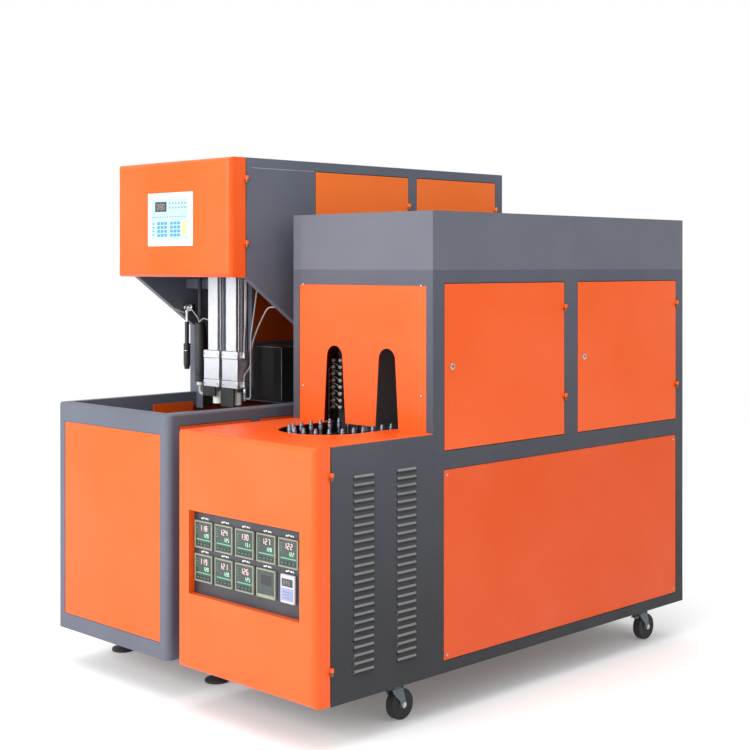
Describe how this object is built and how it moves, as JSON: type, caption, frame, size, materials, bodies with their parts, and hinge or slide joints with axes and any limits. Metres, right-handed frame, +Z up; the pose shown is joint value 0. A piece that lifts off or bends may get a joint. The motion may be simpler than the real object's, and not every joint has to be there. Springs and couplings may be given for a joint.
{
  "type": "blow moulding machine",
  "caption": "Semi-automatic stretch blow moulding machine: a clamp and blow cabinet with an overhanging control head, beside an infrared preform oven with a loop of mandrels.",
  "frame": {"origin": "on the floor under the centre of the bounding box", "axes": "+X to the operator's right across both cabinets, +Y from the operator's side to the back, +Z up"},
  "size_m": [1.469, 1.98, 1.85],
  "materials": {
    "black_parts": "matt",
    "blower_paint": "semi-gloss powder coat",
    "bright_steel": "ground",
    "chain_steel": "oiled",
    "clamp_paint": "semi-gloss",
    "clear_hose": "clear hose",
    "fitting_metal": "plated",
    "foot_rubber": "matt",
    "fork_paint": "zinc and paint",
    "frame_grey": "fine texture powder coat",
    "heater_paint": "semi-gloss powder coat",
    "hinge_steel": "bright",
    "instrument_black": "fine texture",
    "lamp_ceramic": "glazed",
    "lamp_quartz": "frosted",
    "mandrel_steel": "turned",
    "mirror_sheet": "polished",
    "motor_paint": "semi-gloss",
    "mould_metal": "machined",
    "plate_grey": "matt",
    "silver_profile": "anodised",
    "timer_white": "satin",
    "wheel_tyre": "matt",
    "white_film": "printed film"
  },
  "bodies": {
    "machine": {"air_lines": "clear_hose", "blow_pipe_and_silencer": "black_parts", "blow_valve": "fitting_metal", "chain_links": "chain_steel", "chain_track": "chain_steel", "clamp_ends": "clamp_paint", "cylinder_beam": "silver_profile", "deck_plate": "heater_paint", "door_hinges": "hinge_steel", "fixed_side_panels": "heater_paint", "front_section_covers": "frame_grey", "gear_motor": "motor_paint", "heater_frame": "frame_grey", "hood": "frame_grey", "lamp_holders": "lamp_ceramic", "lamp_tubes": "lamp_quartz", "levelling_feet": "foot_rubber", "mandrels": "mandrel_steel", "oven_front_panel": "heater_paint", "reflectors": "mirror_sheet", "right_access_panels": "blower_paint", "seal_guards": "black_parts", "stretch_cylinders": "silver_profile", "table_frame": "frame_grey", "table_panels": "blower_paint", "tie_bars": "bright_steel", "unit_ties": "frame_grey", "upper_housing": "frame_grey", "valve_box": "black_parts"},
    "front_door_group": {"front_door": "heater_paint", "instrument_plate": "plate_grey", "temperature_controllers": "instrument_black", "timer_module": "timer_white"},
    "oven_door_front_leaf": {"oven_door_front": "heater_paint"},
    "oven_door_rear_leaf": {"oven_door_rear": "heater_paint"},
    "lock_front_cam": {"door_lock_front": "hinge_steel"},
    "lock_rear_cam": {"door_lock_rear": "hinge_steel"},
    "head_door_group": {"head_door": "blower_paint", "membrane_keypad": "white_film"},
    "left_door_front_leaf": {"left_access_door_front": "blower_paint"},
    "left_door_rear_leaf": {"left_access_door_rear": "blower_paint"},
    "rod_left": {"stretch_rod_left": "bright_steel"},
    "rod_right": {"stretch_rod_right": "bright_steel"},
    "nozzle_left": {"seal_nozzle_left": "fitting_metal"},
    "nozzle_right": {"seal_nozzle_right": "fitting_metal"},
    "clamp_front": {"front_platen": "clamp_paint", "mould_half_front": "mould_metal"},
    "clamp_rear": {"rear_platen": "clamp_paint", "mould_half_rear": "mould_metal"},
    "sprocket_front": {"front_sprocket": "chain_steel"},
    "sprocket_rear": {"rear_sprocket": "chain_steel"},
    "fork_front_left": {"caster_fork_front_left": "fork_paint"},
    "wheel_front_left": {"caster_wheel_front_left": "wheel_tyre"},
    "fork_rear_left": {"caster_fork_rear_left": "fork_paint"},
    "wheel_rear_left": {"caster_wheel_rear_left": "wheel_tyre"},
    "fork_front_right": {"caster_fork_front_right": "fork_paint"},
    "wheel_front_right": {"caster_wheel_front_right": "wheel_tyre"},
    "fork_rear_right": {"caster_fork_rear_right": "fork_paint"},
    "wheel_rear_right": {"caster_wheel_rear_right": "wheel_tyre"}
  },
  "joints": [
    {"name": "front_door_swing", "type": "hinge", "parent": "machine", "child": "front_door_group", "pos_m": [0.7285, -0.926, 0.5], "axis": [0, 0, 1], "range_deg": [0, 110]},
    {"name": "oven_door_front_swing", "type": "hinge", "parent": "machine", "child": "oven_door_front_leaf", "pos_m": [0.7285, 0.224, 1.1], "axis": [0, 0, 1], "range_deg": [0, 110]},
    {"name": "oven_door_rear_swing", "type": "hinge", "parent": "machine", "child": "oven_door_rear_leaf", "pos_m": [0.7285, 0.943, 1.1], "axis": [0, 0, 1], "range_deg": [0, 110]},
    {"name": "lock_front_turn", "type": "hinge", "parent": "oven_door_front_leaf", "child": "lock_front_cam", "pos_m": [0.7225, -0.379, 1.135], "axis": [-1, 0, 0], "range_deg": [0, 90]},
    {"name": "lock_rear_turn", "type": "hinge", "parent": "oven_door_rear_leaf", "child": "lock_rear_cam", "pos_m": [0.7225, 0.34, 1.135], "axis": [-1, 0, 0], "range_deg": [0, 90]},
    {"name": "head_door_swing", "type": "hinge", "parent": "machine", "child": "head_door_group", "pos_m": [-0.0385, -0.616, 1.65], "axis": [0, 0, 1], "range_deg": [0, 110]},
    {"name": "left_door_front_swing", "type": "hinge", "parent": "machine", "child": "left_door_front_leaf", "pos_m": [-0.7285, 0.22, 1.47], "axis": [0, 0, -1], "range_deg": [0, 110]},
    {"name": "left_door_rear_swing", "type": "hinge", "parent": "machine", "child": "left_door_rear_leaf", "pos_m": [-0.7285, 0.752, 1.47], "axis": [0, 0, -1], "range_deg": [0, 110]},
    {"name": "rod_left_stroke", "type": "slide", "parent": "machine", "child": "rod_left", "axis": [0, 0, -1], "range_m": [0, 0.27]},
    {"name": "rod_right_stroke", "type": "slide", "parent": "machine", "child": "rod_right", "axis": [0, 0, -1], "range_m": [0, 0.27]},
    {"name": "nozzle_left_stroke", "type": "slide", "parent": "machine", "child": "nozzle_left", "axis": [0, 0, -1], "range_m": [0, 0.012]},
    {"name": "nozzle_right_stroke", "type": "slide", "parent": "machine", "child": "nozzle_right", "axis": [0, 0, -1], "range_m": [0, 0.012]},
    {"name": "clamp_front_stroke", "type": "slide", "parent": "machine", "child": "clamp_front", "axis": [0, -1, 0], "range_m": [0, 0.09]},
    {"name": "clamp_rear_stroke", "type": "slide", "parent": "machine", "child": "clamp_rear", "axis": [0, 1, 0], "range_m": [0, 0.09]},
    {"name": "sprocket_front_spin", "type": "hinge", "parent": "machine", "child": "sprocket_front", "pos_m": [0.385, -0.625, 0.88], "axis": [0, 0, 1], "continuous": true},
    {"name": "sprocket_rear_spin", "type": "hinge", "parent": "machine", "child": "sprocket_rear", "pos_m": [0.385, 0.783, 0.88], "axis": [0, 0, 1], "continuous": true},
    {"name": "swivel_front_left", "type": "hinge", "parent": "machine", "child": "fork_front_left", "pos_m": [0.1295, -0.572, 0.12], "axis": [0, 0, 1], "continuous": true},
    {"name": "roll_front_left", "type": "hinge", "parent": "fork_front_left", "child": "wheel_front_left", "pos_m": [0.1295, -0.544, 0.05], "axis": [1, 0, 0], "continuous": true},
    {"name": "swivel_rear_left", "type": "hinge", "parent": "machine", "child": "fork_rear_left", "pos_m": [0.1295, 0.81, 0.12], "axis": [0, 0, 1], "continuous": true},
    {"name": "roll_rear_left", "type": "hinge", "parent": "fork_rear_left", "child": "wheel_rear_left", "pos_m": [0.1295, 0.838, 0.05], "axis": [1, 0, 0], "continuous": true},
    {"name": "swivel_front_right", "type": "hinge", "parent": "machine", "child": "fork_front_right", "pos_m": [0.6405, -0.572, 0.12], "axis": [0, 0, 1], "continuous": true},
    {"name": "roll_front_right", "type": "hinge", "parent": "fork_front_right", "child": "wheel_front_right", "pos_m": [0.6405, -0.544, 0.05], "axis": [1, 0, 0], "continuous": true},
    {"name": "swivel_rear_right", "type": "hinge", "parent": "machine", "child": "fork_rear_right", "pos_m": [0.6405, 0.81, 0.12], "axis": [0, 0, 1], "continuous": true},
    {"name": "roll_rear_right", "type": "hinge", "parent": "fork_rear_right", "child": "wheel_rear_right", "pos_m": [0.6405, 0.838, 0.05], "axis": [1, 0, 0], "continuous": true}
  ],
  "couplings": [
    {"joint": "rod_right_stroke", "follows": "rod_left_stroke", "ratio": 1},
    {"joint": "nozzle_right_stroke", "follows": "nozzle_left_stroke", "ratio": 1},
    {"joint": "clamp_rear_stroke", "follows": "clamp_front_stroke", "ratio": 1},
    {"joint": "sprocket_rear_spin", "follows": "sprocket_front_spin", "ratio": 1}
  ]
}
